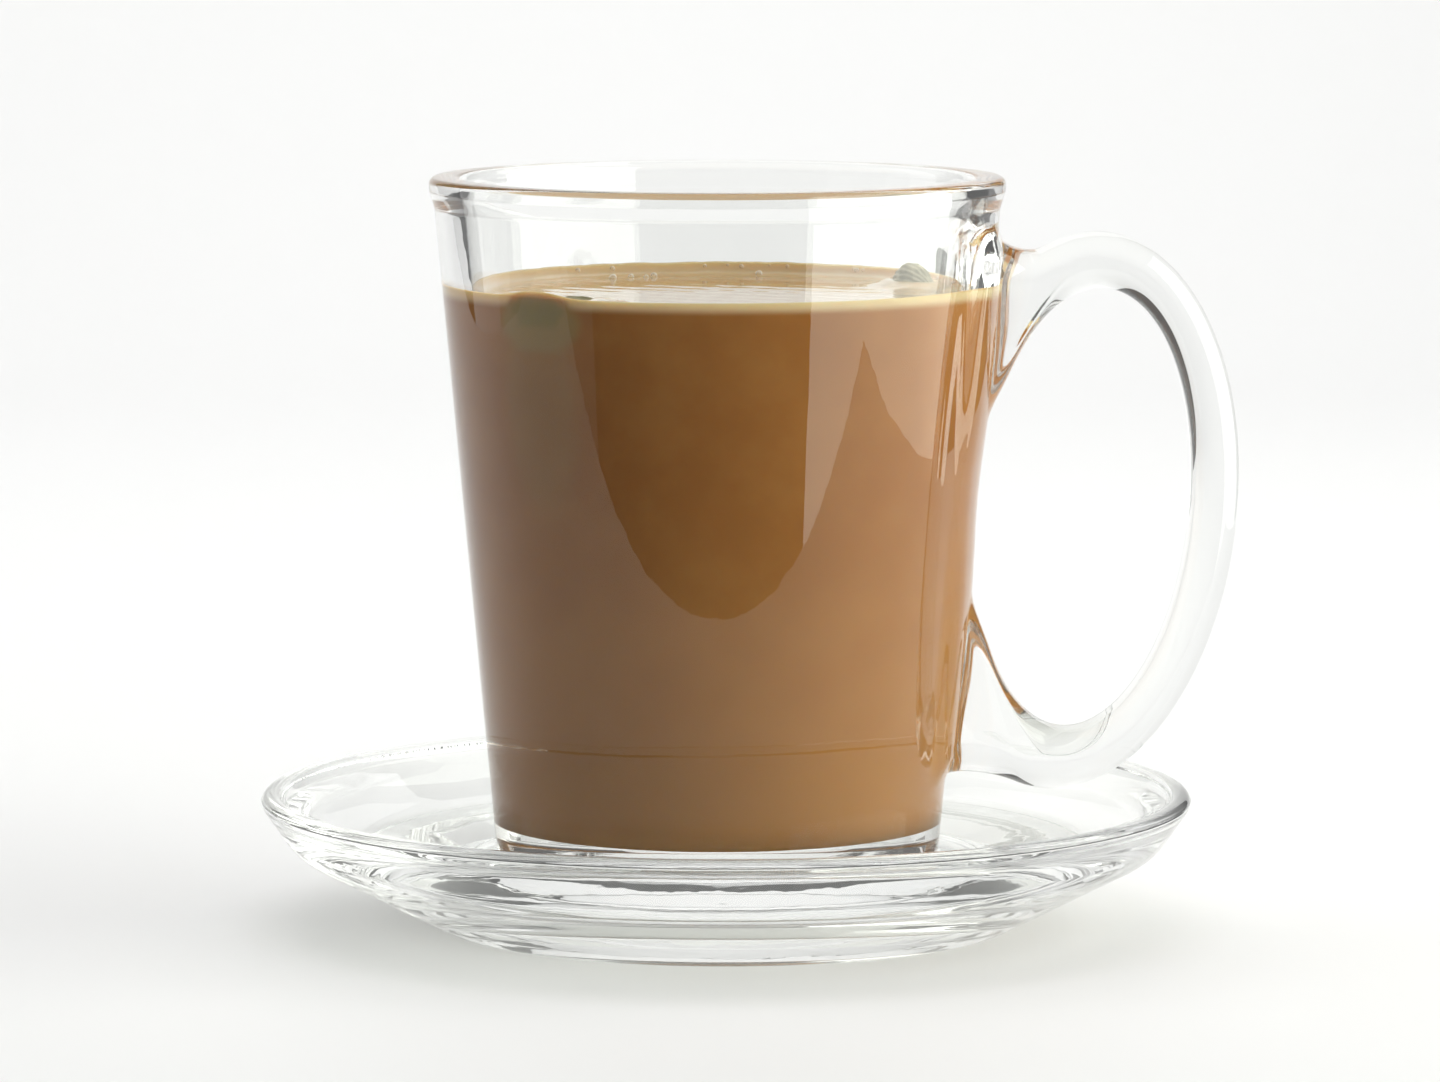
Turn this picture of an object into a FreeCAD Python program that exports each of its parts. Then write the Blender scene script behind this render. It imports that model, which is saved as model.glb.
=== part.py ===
import FreeCAD, Part
import math
import os

import Sketcher

# Milky spiced tea in a thick glass mug that stands on a glass saucer, with two cardamom pods afloat.
# +X runs to the handle, +Z is up, and the origin is the middle of the saucer's foot on the table.
# Lengths are millimetres and angles are degrees.

# alias, value, what it is
SIZES = [
    # saucer
    ("saucer_radius", 65.0, "outside of the saucer's rim"),
    ("saucer_height", 18.2, "top of the saucer's rim above the table"),
    ("saucer_rim_wall", 2.8, "glass at the saucer's rim"),
    ("saucer_floor_top", 9.0, "the flat well that the mug stands on, above the table"),
    ("saucer_floor_wall", 4.6, "glass under the well"),
    ("saucer_well_margin", 4.6, "flat of the well that shows round the mug's base"),
    ("saucer_shoulder_in", 4.4, "where the outside turns up, in from the rim"),
    ("saucer_shoulder_down", 8.0, "where the outside turns up, below the rim's top"),
    ("saucer_slope_rise", 1.8, "rise of the dish from the well's edge to where it turns up"),
    ("saucer_slope_in", 14.0, "where the dish turns up to the rim, in from the rim's outside"),
    ("foot_radius", 41.0, "outside of the saucer's foot ring"),
    ("foot_width", 5.2, "width of the foot ring"),
    # mug
    ("mug_height", 95.1, "the mug from its base to its lip"),
    ("mug_base_radius", 30.9, "outside of the mug's base"),
    ("mug_lean", 5.29, "lean of the mug's outside wall from upright, degrees"),
    ("mug_base_wall", 4.7, "solid glass under the tea"),
    ("mug_wall", 3.7, "wall at the bottom of the cavity"),
    ("cavity_lean", 4.98, "lean of the cavity's wall from upright, degrees"),
    ("lip_wall", 3.0, "glass at the lip"),
    ("lip_flare", 0.35, "how far the lip stands out from the wall's line"),
    ("lip_flare_drop", 4.3, "from the lip's top down to where the flare starts"),
    ("lip_bevel_drop", 6.2, "from the lip's top down to where the wall is full thickness"),
    ("base_round", 1.5, "rounding of the mug's foot edge"),
    ("cavity_round", 2.0, "rounding where the cavity's wall meets its floor"),
    ("mug_shift", -1.2, "the mug stands this far off the saucer's middle, along X"),
    # handle
    ("handle_thickness", 11.5, "across the flat of the handle"),
    ("handle_half_height", 39.1, "long half-axis of the handle's outline"),
    ("handle_half_width", 22.6, "short half-axis of the handle's outline"),
    ("handle_out", 18.8, "middle of the handle's outline, out from the mug's base edge"),
    ("handle_up", 48.4, "middle of the handle's outline above the mug's base"),
    ("handle_lean", 6.6, "lean of the handle's outline from upright, degrees"),
    ("hole_half_height", 31.0, "long half-axis of the finger hole"),
    ("hole_half_width", 14.9, "short half-axis of the finger hole"),
    ("hole_out", 20.1, "middle of the finger hole, out from the mug's base edge"),
    ("hole_up", 48.8, "middle of the finger hole above the mug's base"),
    ("hole_lean", 5.3, "lean of the finger hole from upright, degrees"),
    ("handle_round", 2.8, "rounding of the handle's edges"),
    # tea and pods
    ("tea_level", 79.3, "flat surface of the tea above the mug's base"),
    ("tea_climb", 1.0, "how far the tea climbs the glass"),
    ("tea_gap", 0.1, "clearance of the tea from the glass and the pods"),
    ("pod_gap", 0.5, "clearance of the pods from the glass"),
    ("front_pod_length", 13.6, "length of the pod at the front"),
    ("front_pod_width", 6.8, "width of the pod at the front"),
    ("front_pod_turn", 232.4, "where the front pod floats, degrees round from the handle"),
    ("front_pod_sink", 2.0, "middle of the front pod below the tea's flat surface"),
    ("back_pod_length", 13.0, "length of the pod at the back"),
    ("back_pod_width", 7.0, "width of the pod at the back"),
    ("back_pod_turn", 19.0, "where the back pod floats, degrees round from the handle"),
    ("back_pod_sink", 0.0, "middle of the back pod below the tea's flat surface"),
]

EDGE_ROUND_SHARE = 0.45      # rounding of a rim's edges as a share of its wall: 0.5 is a full round
POD_TIPS_BLUNTNESS = 0.62    # lower is blunter
POD_CORNER_DEPTH = 0.085     # how far a pod's section is from round
POD_STATIONS = 9
POD_SECTION_POINTS = 12
POD_END_SHARE = 0.16         # half-width of a pod's cut ends, as a share of its half-width
POD_TEST_SHARES = (0.0, 0.2, 0.4, 0.6, 0.8, 0.9)    # where a pod is tried against the glass, middle to tip

doc = FreeCAD.newDocument("masala_chai")


def make_sheet():
    sheet = doc.addObject("Spreadsheet::Sheet", "dims")
    for row, (alias, value, meaning) in enumerate(SIZES, start=1):
        sheet.set(f"A{row}", meaning)
        sheet.set(f"B{row}", str(value))
        sheet.setAlias(f"B{row}", alias)
    doc.recompute()
    return sheet


dims = make_sheet()


def origin_part(body, role):
    return next(item for item in body.Origin.OriginFeatures if item.Role == role)


def new_sketch(body, name):
    """A sketch on the body's upright XZ plane: its own x is X and its own y is Z."""
    sketch = body.newObject("Sketcher::SketchObject", name)
    sketch.AttachmentSupport = (origin_part(body, "XZ_Plane"), [""])
    sketch.MapMode = "FlatFace"
    return sketch


def bind(sketch, constraint, expression):
    """Add a constraint and tie its value to the sheet."""
    index = sketch.addConstraint(constraint)
    name = f"size_{index}"
    sketch.renameConstraint(index, name)
    sketch.setExpression(f"Constraints.{name}", expression)


def value_of(expression):
    return float(dims.evalExpression(expression.replace("dims.", "")))


def draw_polygon(sketch, corners):
    """A closed outline through corners, each a pair of expressions; "0" puts it on an axis."""
    places = [FreeCAD.Vector(value_of(x), value_of(z), 0) for x, z in corners]
    count = len(places)
    for index in range(count):
        sketch.addGeometry(Part.LineSegment(places[index], places[(index + 1) % count]), False)
    for index in range(count):
        following = (index + 1) % count
        sketch.addConstraint(Sketcher.Constraint("Coincident", index, 2, following, 1))
    for index, (x, z) in enumerate(corners):
        if x == "0":
            sketch.addConstraint(Sketcher.Constraint("PointOnObject", index, 1, -2))
        else:
            bind(sketch, Sketcher.Constraint("DistanceX", -1, 1, index, 1, places[index].x), x)
        if z == "0":
            sketch.addConstraint(Sketcher.Constraint("PointOnObject", index, 1, -1))
        else:
            bind(sketch, Sketcher.Constraint("DistanceY", -1, 1, index, 1, places[index].y), z)


def draw_ellipse(sketch, out, up, half_height, half_width, lean):
    """An ellipse whose long axis leans from upright towards +x; every argument is an expression."""
    centre = FreeCAD.Vector(value_of(out), value_of(up), 0)
    tilt = math.radians(value_of(lean))
    along = FreeCAD.Vector(math.sin(tilt), math.cos(tilt), 0)
    across = FreeCAD.Vector(-math.cos(tilt), math.sin(tilt), 0)
    top = centre + along * value_of(half_height)
    side = centre + across * value_of(half_width)
    curve = sketch.addGeometry(Part.Ellipse(top, side, centre), False)
    sketch.exposeInternalGeometry(curve)
    long_axis = curve + 1
    short_axis = curve + 2
    bind(sketch, Sketcher.Constraint("DistanceX", -1, 1, curve, 3, centre.x), out)
    bind(sketch, Sketcher.Constraint("DistanceY", -1, 1, curve, 3, centre.y), up)
    bind(sketch, Sketcher.Constraint("Distance", long_axis, 2 * value_of(half_height)), f"2 * {half_height}")
    bind(sketch, Sketcher.Constraint("Distance", short_axis, 2 * value_of(half_width)), f"2 * {half_width}")
    start = sketch.Geometry[long_axis].StartPoint
    end = sketch.Geometry[long_axis].EndPoint
    heading = math.atan2(end.y - start.y, end.x - start.x)
    base_degrees = 90 if heading > 0 else -90
    bind(sketch, Sketcher.Constraint("Angle", long_axis, heading), f"{base_degrees} deg - {lean} * 1 deg")


def turn_about_z(body, kind, name, sketch):
    """Revolve a sketch about the body's own upright axis, as a Revolution or a Groove."""
    feature = body.newObject(f"PartDesign::{kind}", name)
    feature.Profile = sketch
    feature.ReferenceAxis = (sketch, ["V_Axis"])
    feature.Angle = 360.0
    doc.recompute()
    return feature


def edges_where(feature, test):
    """Names of the feature's edges that pass a test."""
    edges = feature.Shape.Edges
    return [f"Edge{number}" for number, edge in enumerate(edges, start=1) if test(edge)]


def is_circle_at(radius_expression, height_expression):
    """A test for a level circle about the body's axis at a radius and a height."""
    radius = value_of(radius_expression)
    height = value_of(height_expression)

    def test(edge):
        curve = edge.Curve
        if not isinstance(curve, Part.Circle):
            return False
        centred = math.hypot(curve.Center.x, curve.Center.y) < 1e-4
        return centred and abs(curve.Radius - radius) < 1e-3 and abs(curve.Center.z - height) < 1e-3

    return test


def round_edges(body, name, feature, test, radius_expression):
    """A Fillet on the edges that pass a test."""
    fillet = body.newObject("PartDesign::Fillet", name)
    fillet.Base = (feature, edges_where(feature, test))
    fillet.setExpression("Radius", radius_expression)
    doc.recompute()
    return fillet


# ---------------------------------------------------------------- saucer

def make_saucer():
    """A turned dish: a foot ring, a flat well for the mug and a sloping border with a round rim."""
    body = doc.addObject("PartDesign::Body", "saucer_body")
    body.Label = "saucer"
    well = "dims.mug_base_radius + dims.saucer_well_margin"
    floor_under = "dims.saucer_floor_top - dims.saucer_floor_wall"
    shoulder_out = "dims.saucer_radius - dims.saucer_shoulder_in"
    shoulder_up = "dims.saucer_height - dims.saucer_shoulder_down"
    slope_out = "dims.saucer_radius - dims.saucer_slope_in"
    slope_up = "dims.saucer_floor_top + dims.saucer_slope_rise"
    rim_inside = "dims.saucer_radius - dims.saucer_rim_wall"
    rim_round_up = "dims.saucer_height - dims.saucer_rim_wall / 2"
    outline = new_sketch(body, "saucer_outline")
    draw_polygon(outline, [
        ("0", floor_under),
        ("dims.foot_radius - dims.foot_width", floor_under),
        ("dims.foot_radius - dims.foot_width", "0"),
        ("dims.foot_radius", "0"),
        (shoulder_out, shoulder_up),
        ("dims.saucer_radius", rim_round_up),
        ("dims.saucer_radius", "dims.saucer_height"),
        (rim_inside, "dims.saucer_height"),
        (rim_inside, rim_round_up),
        (slope_out, slope_up),
        (well, "dims.saucer_floor_top"),
        ("0", "dims.saucer_floor_top"),
    ])
    dish = turn_about_z(body, "Revolution", "saucer_dish", outline)
    rim_test = is_circle_at("dims.saucer_radius", "dims.saucer_height")
    inner_rim_test = is_circle_at(rim_inside, "dims.saucer_height")
    shoulder_test = is_circle_at(shoulder_out, shoulder_up)
    slope_test = is_circle_at(slope_out, slope_up)
    dish = round_edges(body, "saucer_shoulder", dish, lambda edge: shoulder_test(edge) or slope_test(edge),
                       "dims.saucer_shoulder_in * 2")
    round_edges(body, "saucer_rim", dish, lambda edge: rim_test(edge) or inner_rim_test(edge),
                f"dims.saucer_rim_wall * {EDGE_ROUND_SHARE}")
    return body


# ---------------------------------------------------------------- mug

def outside_at(height):
    """Expression for the mug's outside radius at a height above its base."""
    return f"dims.mug_base_radius + ({height}) * tan(dims.mug_lean * 1 deg)"


def cavity_at(height):
    """Expression for the cavity's radius at a height above the mug's base."""
    floor_radius = f"({outside_at('dims.mug_base_wall')} - dims.mug_wall)"
    return f"{floor_radius} + (({height}) - dims.mug_base_wall) * tan(dims.cavity_lean * 1 deg)"


def make_mug():
    """A handle plate with its finger hole, cut back to a root in the wall, and the turned wall round it."""
    body = doc.addObject("PartDesign::Body", "mug_body")
    body.Label = "mug"

    plate_sketch = new_sketch(body, "handle_outline")
    draw_ellipse(plate_sketch, "dims.mug_base_radius + dims.handle_out", "dims.handle_up",
                 "dims.handle_half_height", "dims.handle_half_width", "dims.handle_lean")
    plate = body.newObject("PartDesign::Pad", "handle_plate")
    plate.Profile = plate_sketch
    plate.SideType = "Symmetric"
    plate.setExpression("Length", "dims.handle_thickness")
    doc.recompute()

    hole_sketch = new_sketch(body, "finger_hole_outline")
    draw_ellipse(hole_sketch, "dims.mug_base_radius + dims.hole_out", "dims.hole_up",
                 "dims.hole_half_height", "dims.hole_half_width", "dims.hole_lean")
    hole = body.newObject("PartDesign::Pocket", "finger_hole")
    hole.Profile = hole_sketch
    hole.SideType = "Symmetric"
    hole.Type = "ThroughAll"
    doc.recompute()

    root_sketch = new_sketch(body, "handle_root_outline")
    draw_polygon(root_sketch, [
        ("0", "0"),
        ("dims.mug_base_radius - dims.mug_wall / 2", "0"),
        (f"{outside_at('dims.mug_height')} - dims.mug_wall / 2", "dims.mug_height"),
        ("0", "dims.mug_height"),
    ])
    turn_about_z(body, "Groove", "handle_root", root_sketch)

    flare_up = "dims.mug_height - dims.lip_flare_drop"
    bevel_up = "dims.mug_height - dims.lip_bevel_drop"
    lip_round_up = "dims.mug_height - dims.lip_wall / 2"
    lip_out = f"{outside_at('dims.mug_height')} + dims.lip_flare"
    lip_in = f"{lip_out} - dims.lip_wall"
    wall_sketch = new_sketch(body, "mug_outline")
    draw_polygon(wall_sketch, [
        ("0", "0"),
        ("dims.mug_base_radius", "0"),
        (outside_at(flare_up), flare_up),
        (lip_out, lip_round_up),
        (lip_out, "dims.mug_height"),
        (lip_in, "dims.mug_height"),
        (lip_in, lip_round_up),
        (cavity_at(bevel_up), bevel_up),
        (cavity_at("dims.mug_base_wall"), "dims.mug_base_wall"),
        ("0", "dims.mug_base_wall"),
    ])
    cavity = turn_about_z(body, "Revolution", "mug_wall", wall_sketch)

    outer_lip_test = is_circle_at(lip_out, "dims.mug_height")
    inner_lip_test = is_circle_at(lip_in, "dims.mug_height")
    lip = round_edges(body, "lip", cavity, lambda edge: outer_lip_test(edge) or inner_lip_test(edge),
                      f"dims.lip_wall * {EDGE_ROUND_SHARE}")
    foot_edge = is_circle_at("dims.mug_base_radius", "0")
    foot = round_edges(body, "mug_foot_edge", lip, foot_edge, "dims.base_round")
    floor_edge = is_circle_at(cavity_at("dims.mug_base_wall"), "dims.mug_base_wall")
    corner = round_edges(body, "cavity_corner", foot, floor_edge, "dims.cavity_round")

    flat_side = value_of("dims.handle_thickness") / 2

    def is_handle_edge(edge):
        box = edge.BoundBox
        in_a_side = box.YLength < 1e-3 and abs(abs(box.YMax) - flat_side) < 1e-3
        return in_a_side and isinstance(edge.Curve, (Part.Ellipse, Part.BSplineCurve))

    round_edges(body, "handle_edges", corner, is_handle_edge, "dims.handle_round")
    return body


# ---------------------------------------------------------------- pods

def pod_solid(length, width):
    """A three-sided pod along X: rounded-triangle sections that swell and taper as a power of sine."""
    sections = []
    for station in range(POD_STATIONS):
        share = station / (POD_STATIONS - 1)
        swell = max(math.sin(math.pi * share) ** POD_TIPS_BLUNTNESS, POD_END_SHARE)
        points = []
        for step in range(POD_SECTION_POINTS):
            turn = 2 * math.pi * step / POD_SECTION_POINTS
            reach = width / 2 * swell * (1 + POD_CORNER_DEPTH * math.cos(3 * turn)) / (1 + POD_CORNER_DEPTH)
            across, up = reach * math.sin(turn), reach * math.cos(turn)
            points.append(FreeCAD.Vector((share - 0.5) * length, across, up))
        curve = Part.BSplineCurve()
        curve.interpolate(Points=points, PeriodicFlag=True)
        sections.append(Part.Wire([curve.toShape()]))
    return Part.makeLoft(sections, True)


def pod_place(which):
    """Where a pod floats: lying along the wall, its side the pod gap away from the glass."""
    width = value_of(f"dims.{which}_pod_width")
    length = value_of(f"dims.{which}_pod_length")
    sink = value_of(f"dims.{which}_pod_sink")
    turn = value_of(f"dims.{which}_pod_turn")
    height = value_of("dims.tea_level") - sink
    glass = value_of(cavity_at(f"{height - width / 2}"))
    # the pod's swollen middle and its narrower ends all have to clear the round wall
    reach = min(
        math.sqrt((glass - value_of("dims.pod_gap")) ** 2 - (share * length / 2) ** 2)
        - width / 2 * math.cos(math.pi / 2 * share) ** POD_TIPS_BLUNTNESS
        for share in POD_TEST_SHARES
    )
    angle = math.radians(turn)
    spot = FreeCAD.Vector(
        value_of("dims.mug_shift") + reach * math.cos(angle),
        reach * math.sin(angle),
        value_of("dims.saucer_floor_top") + height,
    )
    along_wall = FreeCAD.Rotation(FreeCAD.Vector(0, 0, 1), turn + 90)
    return FreeCAD.Placement(spot, along_wall)


def make_pod(which):
    """A pod, and the larger pod-shaped tool that clears the tea round it."""
    length = value_of(f"dims.{which}_pod_length")
    width = value_of(f"dims.{which}_pod_width")
    room = 2 * value_of("dims.tea_gap")
    pod = doc.addObject("Part::Feature", f"{which}_pod")
    pod.Label = f"pod_{which}"
    pod.Shape = pod_solid(length, width)
    pod.Placement = pod_place(which)
    tool = doc.addObject("Part::Feature", f"{which}_pod_room")
    tool.Shape = pod_solid(length + room, width + room)
    tool.Placement = pod_place(which)
    return pod, tool


# ---------------------------------------------------------------- tea

def make_tea(tools):
    """The tea fills the cavity to its level, climbs the glass a little and is cut round the pods."""
    body = doc.addObject("PartDesign::Body", "tea_body")
    body.Label = "tea_uncut"
    floor_up = "dims.mug_base_wall + dims.tea_gap"
    edge_up = "dims.tea_level + dims.tea_climb"
    outline = new_sketch(body, "tea_outline")
    draw_polygon(outline, [
        ("0", floor_up),
        (f"{cavity_at('dims.mug_base_wall')} - dims.tea_gap", floor_up),
        (f"{cavity_at(edge_up)} - dims.tea_gap", edge_up),
        (f"{cavity_at(edge_up)} - dims.tea_gap - dims.tea_climb", "dims.tea_level"),
        ("0", "dims.tea_level"),
    ])
    fill = turn_about_z(body, "Revolution", "tea_fill", outline)
    corner = is_circle_at(f"{cavity_at('dims.mug_base_wall')} - dims.tea_gap", floor_up)
    fill = round_edges(body, "tea_corner", fill, corner, "dims.cavity_round")
    meniscus = is_circle_at(f"{cavity_at(edge_up)} - dims.tea_gap - dims.tea_climb", "dims.tea_level")
    round_edges(body, "meniscus", fill, meniscus, "dims.tea_climb * 2")
    stand_on_saucer(body)
    rooms = doc.addObject("Part::MultiFuse", "pod_rooms")
    rooms.Shapes = tools
    tea = doc.addObject("Part::Cut", "tea")
    tea.Label = "chai"
    tea.Base = body
    tea.Tool = rooms
    doc.recompute()
    return tea


def stand_on_saucer(thing):
    """Stand a piece made in the mug's own frame on the saucer's well."""
    thing.setExpression("Placement.Base.x", "dims.mug_shift")
    thing.setExpression("Placement.Base.z", "dims.saucer_floor_top")


def build():
    saucer = make_saucer()
    mug = make_mug()
    stand_on_saucer(mug)
    front_pod, front_room = make_pod("front")
    back_pod, back_room = make_pod("back")
    tea = make_tea([front_room, back_room])
    doc.recompute()
    return [saucer, mug, tea, front_pod, back_pod]


def check_and_export(pieces):
    for thing in doc.Objects:
        if "Invalid" in thing.State or "Error" in thing.State:
            raise RuntimeError(f"{thing.Name} failed: {thing.State}")
    for piece in pieces:
        if piece.Shape.isNull() or not piece.Shape.isValid() or len(piece.Shape.Solids) != 1:
            raise RuntimeError(f"{piece.Label} isn't one valid solid")
    os.makedirs("parts", exist_ok=True)
    for piece in pieces:
        box = piece.Shape.optimalBoundingBox()
        piece.Shape.exportStep(f"parts/{piece.Label}.step")
        print(f"{piece.Label}: {piece.Shape.Volume / 1000:.2f} cc,"
              f" x {box.XMin:.2f} to {box.XMax:.2f}, y {box.YMin:.2f} to {box.YMax:.2f},"
              f" z {box.ZMin:.2f} to {box.ZMax:.2f}")


check_and_export(build())
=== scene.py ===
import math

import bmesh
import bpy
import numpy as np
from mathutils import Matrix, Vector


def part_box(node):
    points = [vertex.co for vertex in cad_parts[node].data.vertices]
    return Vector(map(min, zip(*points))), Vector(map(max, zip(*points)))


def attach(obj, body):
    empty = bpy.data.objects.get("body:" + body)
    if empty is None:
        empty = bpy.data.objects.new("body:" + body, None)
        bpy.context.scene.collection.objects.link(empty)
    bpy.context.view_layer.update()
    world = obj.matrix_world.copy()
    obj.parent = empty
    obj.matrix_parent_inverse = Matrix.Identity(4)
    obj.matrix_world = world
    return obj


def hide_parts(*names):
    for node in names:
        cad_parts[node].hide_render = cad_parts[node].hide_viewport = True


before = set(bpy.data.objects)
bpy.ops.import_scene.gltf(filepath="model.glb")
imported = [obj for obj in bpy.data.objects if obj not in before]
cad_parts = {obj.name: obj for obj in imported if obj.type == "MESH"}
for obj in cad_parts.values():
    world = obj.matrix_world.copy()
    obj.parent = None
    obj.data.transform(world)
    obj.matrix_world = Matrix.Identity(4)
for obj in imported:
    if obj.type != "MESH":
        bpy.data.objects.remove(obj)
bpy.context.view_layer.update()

# %% [markdown]
# # A glass mug of masala chai
#
# Milky spiced tea stands in a thick pressed-glass mug with a tall ring handle. The mug stands on a
# shallow glass saucer, and two cardamom pods float against the wall. The sizes are those of the packed
# CAD model, and its boxes give the tea's level and the pods' places. This lesson builds the surfaces
# that the eye reads: the lip's rounding, the handle's flared roots, the tea's curled edge, the ribs of
# the pods, and glass that bends what is behind it.
#
# Shapes are worked out in millimetres with numpy and turned into metres only when a mesh is made.

low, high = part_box("mug")
print("mug in CAD, mm:", [round(v * 1000, 2) for v in (*low, *high)])

# %% [markdown]
# ## From a grid of points to a mesh
#
# Every piece here is a surface with two parameters, so its points form a grid of rows and columns. The
# faces of such a grid never change, only the points do. One function numbers the quads, and one turns
# several grids into a piece and welds the points that they share. Welding also closes the pole of a
# turned shape, where a whole row of points falls on the axis.

# %% Grids and pieces
def grid_quads(rows, columns, closed=True):
    """Corner numbers of each quad of a grid that is numbered row by row. A closed grid joins its last
    column to its first."""
    number = np.arange(rows * columns).reshape(rows, columns)
    if closed:
        number = np.hstack([number, number[:, :1]])
    return np.stack([number[:-1, :-1], number[:-1, 1:], number[1:, 1:], number[1:, :-1]], axis=-1)


def make_piece(name, grids, weld=0.004):
    """One smooth mesh from (points, quads) pairs in millimetres. Points closer than weld become one. A
    closed shell that came out inside out, which its volume's sign tells, is turned over."""
    points, faces, count = [], [], 0
    for grid_points, quads in grids:
        points.append(grid_points.reshape(-1, 3))
        faces.append(quads.reshape(-1, 4) + count)
        count += len(points[-1])
    mesh = bpy.data.meshes.new(name)
    mesh.from_pydata(np.vstack(points) * 0.001, [], np.vstack(faces).tolist())
    shell = bmesh.new()
    shell.from_mesh(mesh)
    bmesh.ops.remove_doubles(shell, verts=shell.verts, dist=weld * 0.001)
    bmesh.ops.recalc_face_normals(shell, faces=shell.faces)
    open_edges = sum(not edge.is_manifold for edge in shell.edges)
    if not open_edges and shell.calc_volume(signed=True) < 0:
        bmesh.ops.reverse_faces(shell, faces=shell.faces)
    volume = shell.calc_volume(signed=True)
    shell.to_mesh(mesh)
    shell.free()
    mesh.polygons.foreach_set("use_smooth", np.ones(len(mesh.polygons), bool))
    piece = bpy.data.objects.new(name, mesh)
    bpy.context.scene.collection.objects.link(piece)
    print(f"{name}: {len(mesh.polygons)} faces, {open_edges} open edges, volume {volume * 1e6:.2f} cc")
    return piece


# %% [markdown]
# ## Profiles with rounded corners
#
# Pressed glass has no sharp edge: the mould's corners are rounded so that the glass flows and lets go.
# A profile is therefore a few corners, each with its own radius, and a function puts the arcs in.
# Writing the arcs' points by hand would give the same curve with many more numbers.

# %% Rounded profiles and soft steps
NEARLY_STRAIGHT = 1.55      # half the inner angle, in radians, past which a corner needs no arc


def rounded_profile(corners, steps=7):
    """A path through (r, z, radius) corners. Each corner becomes an arc that touches both its sides:
    it starts radius / tan(half the inner angle) before the corner and ends as far after it."""
    corners = np.array(corners, float)
    spots, radii = corners[:, :2], corners[:, 2]
    path = [spots[:1]]
    for before, spot, after, radius in zip(spots[:-2], spots[1:-1], spots[2:], radii[1:-1]):
        into = (before - spot) / np.linalg.norm(before - spot)
        out = (after - spot) / np.linalg.norm(after - spot)
        half = math.acos(np.clip(into @ out, -1, 1)) / 2
        if radius <= 0 or half > NEARLY_STRAIGHT:
            path.append(spot[None])
            continue
        reach = radius / math.tan(half)
        share = np.linspace(0, 1, steps)[:, None]
        middle = (into + out) / np.linalg.norm(into + out)
        centre = spot + middle * radius / math.sin(half)
        start, end = spot + into * reach - centre, spot + out * reach - centre
        sweep = math.pi - 2 * half
        arc = start * np.sin((1 - share) * sweep) + end * np.sin(share * sweep)
        path.append(centre + arc / math.sin(sweep))
    path.append(spots[-1:])
    return np.vstack(path)


def densify(path, spacing):
    """Add points along a path so that none are further apart than spacing."""
    pieces = [path[:1]]
    for start, end in zip(path[:-1], path[1:]):
        count = max(1, math.ceil(np.linalg.norm(end - start) / spacing))
        pieces.append(start + (end - start) * np.linspace(0, 1, count + 1)[1:, None])
    return np.vstack(pieces)


def soft_step(value, start, end):
    """0 up to start, 1 from end on, and an S curve between: 3t^2 - 2t^3."""
    t = np.clip((value - start) / (end - start), 0, 1)
    return t * t * (3 - 2 * t)


# %% [markdown]
# ## The mug's own numbers
#
# The mug is a cone that leans out by about 5 degrees. Its glass is a little under 4 mm thick low down
# and 4.5 mm at the lip, over a base 4.6 mm thick. It stands in the saucer's well, a little off the
# middle, as a mug put down by hand does. The wall's line is a straight function of height, so both
# the turned wall and the handle's roots can ask for it.

# %% Where the walls are
MUG_X = -1.2                # the mug's axis along x, in the row frame
WELL_Z = 9.0                # the top of the saucer's well
BASE_Z = 9.06               # the mug's foot, a hair above the well
CAVITY_Z = 13.7             # the floor inside
LIP_Z = 104.1
BASE_RADIUS, OUTSIDE_LEAN = 30.9, 5.29         # outside the wall at the well; degrees from upright
CAVITY_RADIUS, INSIDE_LEAN = 27.64, 4.98       # inside the wall at its floor
LIP_RADIUS = 40.05          # the outside of the straight band under the lip
CAVITY_CORNER = 3.8         # the rounding between the floor and the wall
COLUMNS = 288               # points round the mug


def outside_radius(z):
    return BASE_RADIUS + (z - WELL_Z) * math.tan(math.radians(OUTSIDE_LEAN))


def inside_radius(z):
    return CAVITY_RADIUS + (z - CAVITY_Z) * math.tan(math.radians(INSIDE_LEAN))


around = np.linspace(-math.pi, math.pi, COLUMNS, endpoint=False)
print("outside radius at base and lip:", round(outside_radius(WELL_Z), 2), round(outside_radius(LIP_Z), 2))

# %% [markdown]
# ## The pad behind the handle
#
# Where the handle was pressed together with the wall, the glass keeps a shallow raised strip. It is
# about a millimetre proud, wider at the top, and it fades into the wall. Behind clear glass even so
# shallow a step shows as long bright and dark stripes. The strip is a term added to the radius, so
# the wall stays one surface.

# %% The pad as a function of angle and height
PAD_HEIGHT, PAD_DIP = 1.3, 0.55                # how far it stands proud, and how much less in the middle
PAD_MIDDLE, PAD_DIP_REACH = 60, 10             # the height of that dip, and how fast it fades


def pad(angle, z):
    """How far the wall stands proud. The strip is flat out to 8.7 mm from the handle's plane at its
    low end and to 12 mm at its top, and fades to nothing 5 to 8 mm further out and at both ends. It
    is thinner at mid height, where the finger hole comes nearest to the wall."""
    sideways = np.abs(angle) * outside_radius(z)
    rise = np.clip((z - 21) / 74, 0, 1)
    across = 1 - soft_step(sideways, 8.7 + 3.3 * rise, 13.6 + 6.2 * rise)
    along = soft_step(z, 19.5, 24.0) * (1 - soft_step(z, 93.0, 97.5))
    height = PAD_HEIGHT - PAD_DIP * np.exp(-((z - PAD_MIDDLE) / PAD_DIP_REACH) ** 2)
    return across * along * height


def wall_point(angle, z):
    """A point of the outside wall, the pad included, for any angle from the handle and any height."""
    radius = outside_radius(z) + pad(angle, z)
    return np.stack([MUG_X + radius * np.cos(angle), radius * np.sin(angle), z + 0 * angle], axis=-1)


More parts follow.
